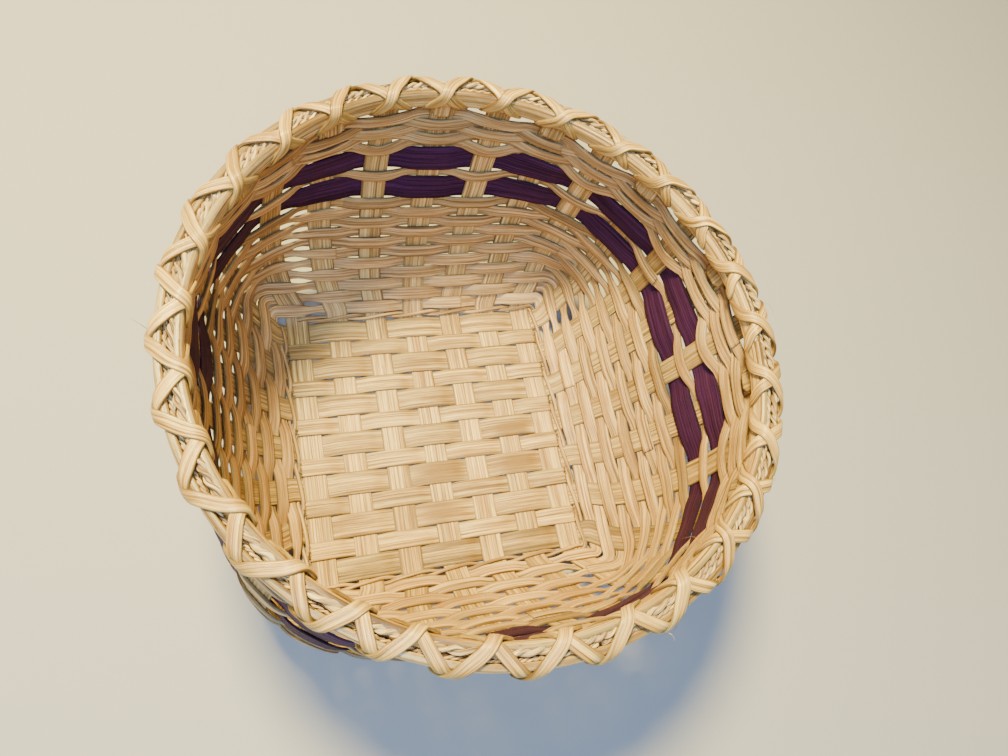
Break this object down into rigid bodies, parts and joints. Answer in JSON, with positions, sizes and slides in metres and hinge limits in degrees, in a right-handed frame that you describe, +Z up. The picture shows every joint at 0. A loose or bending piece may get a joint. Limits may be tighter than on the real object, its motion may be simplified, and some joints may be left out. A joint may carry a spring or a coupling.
{
  "type": "woven reed basket",
  "caption": "Open round-mouthed flat-reed basket with a square plaited base, two dyed bands and a cross-lashed double rim.",
  "frame": {"origin": "centre of the footprint (the rim's circle), on the level of the underside", "axes": "+Z up through the mouth, +Y towards the far side of the picture, +X to its right"},
  "size_m": [0.2744, 0.2744, 0.1449],
  "materials": {
    "stake_reed": "natural flat reed, matt, lengthwise grain",
    "filler_reed": "natural flat reed, matt, lengthwise grain",
    "weaver_reed": "natural flat-oval reed, matt, lengthwise grain",
    "dyed_reed": "flat reed dyed dark red-brown, matt",
    "twining_reed": "natural round reed, matt",
    "rim_reed": "natural flat-oval reed, satin",
    "rim_cord": "twisted plant-fibre cord, matt",
    "lashing_reed": "natural split reed, satin"
  },
  "bodies": {
    "root": {"front_back_stake_1": "stake_reed", "front_back_stake_2": "stake_reed", "front_back_stake_3": "stake_reed", "front_back_stake_4": "stake_reed", "front_back_stake_5": "stake_reed", "front_back_stake_6": "stake_reed", "front_back_stake_7": "stake_reed", "side_to_side_stake_1": "stake_reed", "side_to_side_stake_2": "stake_reed", "side_to_side_stake_3": "stake_reed", "side_to_side_stake_4": "stake_reed", "side_to_side_stake_5": "stake_reed", "side_to_side_stake_6": "stake_reed", "side_to_side_stake_7": "stake_reed", "base_filler_1": "filler_reed", "base_filler_2": "filler_reed", "base_filler_3": "filler_reed", "base_filler_4": "filler_reed", "base_filler_5": "filler_reed", "base_filler_6": "filler_reed", "lower_weaver_01": "weaver_reed", "lower_weaver_02": "weaver_reed", "lower_weaver_03": "weaver_reed", "lower_weaver_04": "weaver_reed", "lower_weaver_05": "weaver_reed", "lower_weaver_06": "weaver_reed", "lower_weaver_07": "weaver_reed", "lower_weaver_08": "weaver_reed", "lower_weaver_09": "weaver_reed", "lower_weaver_10": "weaver_reed", "lower_weaver_11": "weaver_reed", "dyed_band_lower": "dyed_reed", "spacer_weaver": "weaver_reed", "dyed_band_upper": "dyed_reed", "upper_weaver_1": "weaver_reed", "upper_weaver_2": "weaver_reed", "upper_weaver_3": "weaver_reed", "upper_weaver_4": "weaver_reed", "upper_weaver_5": "weaver_reed", "rim_row_weaver": "weaver_reed", "twining_strand_1": "twining_reed", "twining_strand_2": "twining_reed", "inner_rim": "rim_reed", "outer_rim": "rim_reed", "rim_cord_inner": "rim_cord", "rim_cord_outer": "rim_cord", "rim_lashing_1": "lashing_reed", "rim_lashing_2": "lashing_reed"}
  },
  "joints": []
}
